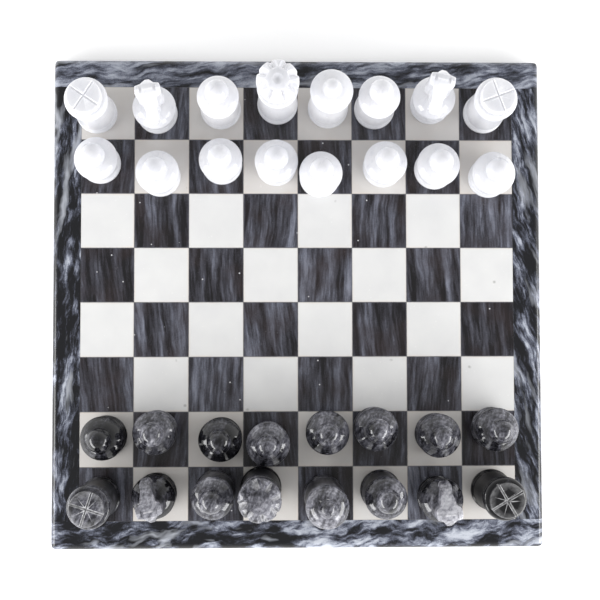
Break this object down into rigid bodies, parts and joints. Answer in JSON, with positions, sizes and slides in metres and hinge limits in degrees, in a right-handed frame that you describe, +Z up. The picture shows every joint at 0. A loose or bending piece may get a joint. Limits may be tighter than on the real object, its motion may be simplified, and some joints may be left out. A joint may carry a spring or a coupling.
{
  "type": "chess set with board",
  "caption": "Stone chess set on an inlaid square marble board with a round-edged border; the turned pieces lift off the board.",
  "frame": {"origin": "centre of the board's underside, on the felt", "axes": "+Z up out of the board; +Y towards the white army; +X towards the right-hand edge seen from the grey army"},
  "size_m": [0.381, 0.381, 0.096],
  "materials": {
    "felt": "matt pressed felt",
    "slab_marble": "honed, veined",
    "joint_filler": "matt resin grout",
    "dark_marble": "polished, veined",
    "light_marble": "polished",
    "border_marble": "polished, veined",
    "white_onyx": "high polish",
    "grey_onyx": "high polish, clouded"
  },
  "bodies": {
    "board": {"felt_backing": "felt", "base_slab": "slab_marble", "joint_resin": "joint_filler", "dark_squares": "dark_marble", "light_squares": "light_marble", "border_far": "border_marble", "border_near": "border_marble", "border_left": "border_marble", "border_right": "border_marble"},
    "white_rook_left": {"white_rook_left": "white_onyx"},
    "white_knight_left": {"white_knight_left": "white_onyx"},
    "white_bishop_left": {"white_bishop_left": "white_onyx"},
    "white_king": {"white_king": "white_onyx"},
    "white_queen": {"white_queen": "white_onyx"},
    "white_bishop_right": {"white_bishop_right": "white_onyx"},
    "white_knight_right": {"white_knight_right": "white_onyx"},
    "white_rook_right": {"white_rook_right": "white_onyx"},
    "grey_rook_left": {"grey_rook_left": "grey_onyx"},
    "grey_knight_left": {"grey_knight_left": "grey_onyx"},
    "grey_bishop_left": {"grey_bishop_left": "grey_onyx"},
    "grey_king": {"grey_king": "grey_onyx"},
    "grey_queen": {"grey_queen": "grey_onyx"},
    "grey_bishop_right": {"grey_bishop_right": "grey_onyx"},
    "grey_knight_right": {"grey_knight_right": "grey_onyx"},
    "grey_rook_right": {"grey_rook_right": "grey_onyx"},
    "white_pawn_1": {"white_pawn_1": "white_onyx"},
    "white_pawn_2": {"white_pawn_2": "white_onyx"},
    "white_pawn_3": {"white_pawn_3": "white_onyx"},
    "white_pawn_4": {"white_pawn_4": "white_onyx"},
    "white_pawn_5": {"white_pawn_5": "white_onyx"},
    "white_pawn_6": {"white_pawn_6": "white_onyx"},
    "white_pawn_7": {"white_pawn_7": "white_onyx"},
    "white_pawn_8": {"white_pawn_8": "white_onyx"},
    "grey_pawn_1": {"grey_pawn_1": "grey_onyx"},
    "grey_pawn_2": {"grey_pawn_2": "grey_onyx"},
    "grey_pawn_3": {"grey_pawn_3": "grey_onyx"},
    "grey_pawn_4": {"grey_pawn_4": "grey_onyx"},
    "grey_pawn_5": {"grey_pawn_5": "grey_onyx"},
    "grey_pawn_6": {"grey_pawn_6": "grey_onyx"},
    "grey_pawn_7": {"grey_pawn_7": "grey_onyx"},
    "grey_pawn_8": {"grey_pawn_8": "grey_onyx"}
  },
  "joints": [
    {"name": "white_rook_left_lift", "type": "slide", "parent": "board", "child": "white_rook_left", "axis": [0, 0, 1], "range_m": [0, 0.1]},
    {"name": "white_knight_left_lift", "type": "slide", "parent": "board", "child": "white_knight_left", "axis": [0, 0, 1], "range_m": [0, 0.1]},
    {"name": "white_bishop_left_lift", "type": "slide", "parent": "board", "child": "white_bishop_left", "axis": [0, 0, 1], "range_m": [0, 0.1]},
    {"name": "white_king_lift", "type": "slide", "parent": "board", "child": "white_king", "axis": [0, 0, 1], "range_m": [0, 0.1]},
    {"name": "white_queen_lift", "type": "slide", "parent": "board", "child": "white_queen", "axis": [0, 0, 1], "range_m": [0, 0.1]},
    {"name": "white_bishop_right_lift", "type": "slide", "parent": "board", "child": "white_bishop_right", "axis": [0, 0, 1], "range_m": [0, 0.1]},
    {"name": "white_knight_right_lift", "type": "slide", "parent": "board", "child": "white_knight_right", "axis": [0, 0, 1], "range_m": [0, 0.1]},
    {"name": "white_rook_right_lift", "type": "slide", "parent": "board", "child": "white_rook_right", "axis": [0, 0, 1], "range_m": [0, 0.1]},
    {"name": "grey_rook_left_lift", "type": "slide", "parent": "board", "child": "grey_rook_left", "axis": [0, 0, 1], "range_m": [0, 0.1]},
    {"name": "grey_knight_left_lift", "type": "slide", "parent": "board", "child": "grey_knight_left", "axis": [0, 0, 1], "range_m": [0, 0.1]},
    {"name": "grey_bishop_left_lift", "type": "slide", "parent": "board", "child": "grey_bishop_left", "axis": [0, 0, 1], "range_m": [0, 0.1]},
    {"name": "grey_king_lift", "type": "slide", "parent": "board", "child": "grey_king", "axis": [0, 0, 1], "range_m": [0, 0.1]},
    {"name": "grey_queen_lift", "type": "slide", "parent": "board", "child": "grey_queen", "axis": [0, 0, 1], "range_m": [0, 0.1]},
    {"name": "grey_bishop_right_lift", "type": "slide", "parent": "board", "child": "grey_bishop_right", "axis": [0, 0, 1], "range_m": [0, 0.1]},
    {"name": "grey_knight_right_lift", "type": "slide", "parent": "board", "child": "grey_knight_right", "axis": [0, 0, 1], "range_m": [0, 0.1]},
    {"name": "grey_rook_right_lift", "type": "slide", "parent": "board", "child": "grey_rook_right", "axis": [0, 0, 1], "range_m": [0, 0.1]},
    {"name": "white_pawn_1_lift", "type": "slide", "parent": "board", "child": "white_pawn_1", "axis": [0, 0, 1], "range_m": [0, 0.1]},
    {"name": "white_pawn_2_lift", "type": "slide", "parent": "board", "child": "white_pawn_2", "axis": [0, 0, 1], "range_m": [0, 0.1]},
    {"name": "white_pawn_3_lift", "type": "slide", "parent": "board", "child": "white_pawn_3", "axis": [0, 0, 1], "range_m": [0, 0.1]},
    {"name": "white_pawn_4_lift", "type": "slide", "parent": "board", "child": "white_pawn_4", "axis": [0, 0, 1], "range_m": [0, 0.1]},
    {"name": "white_pawn_5_lift", "type": "slide", "parent": "board", "child": "white_pawn_5", "axis": [0, 0, 1], "range_m": [0, 0.1]},
    {"name": "white_pawn_6_lift", "type": "slide", "parent": "board", "child": "white_pawn_6", "axis": [0, 0, 1], "range_m": [0, 0.1]},
    {"name": "white_pawn_7_lift", "type": "slide", "parent": "board", "child": "white_pawn_7", "axis": [0, 0, 1], "range_m": [0, 0.1]},
    {"name": "white_pawn_8_lift", "type": "slide", "parent": "board", "child": "white_pawn_8", "axis": [0, 0, 1], "range_m": [0, 0.1]},
    {"name": "grey_pawn_1_lift", "type": "slide", "parent": "board", "child": "grey_pawn_1", "axis": [0, 0, 1], "range_m": [0, 0.1]},
    {"name": "grey_pawn_2_lift", "type": "slide", "parent": "board", "child": "grey_pawn_2", "axis": [0, 0, 1], "range_m": [0, 0.1]},
    {"name": "grey_pawn_3_lift", "type": "slide", "parent": "board", "child": "grey_pawn_3", "axis": [0, 0, 1], "range_m": [0, 0.1]},
    {"name": "grey_pawn_4_lift", "type": "slide", "parent": "board", "child": "grey_pawn_4", "axis": [0, 0, 1], "range_m": [0, 0.1]},
    {"name": "grey_pawn_5_lift", "type": "slide", "parent": "board", "child": "grey_pawn_5", "axis": [0, 0, 1], "range_m": [0, 0.1]},
    {"name": "grey_pawn_6_lift", "type": "slide", "parent": "board", "child": "grey_pawn_6", "axis": [0, 0, 1], "range_m": [0, 0.1]},
    {"name": "grey_pawn_7_lift", "type": "slide", "parent": "board", "child": "grey_pawn_7", "axis": [0, 0, 1], "range_m": [0, 0.1]},
    {"name": "grey_pawn_8_lift", "type": "slide", "parent": "board", "child": "grey_pawn_8", "axis": [0, 0, 1], "range_m": [0, 0.1]}
  ]
}
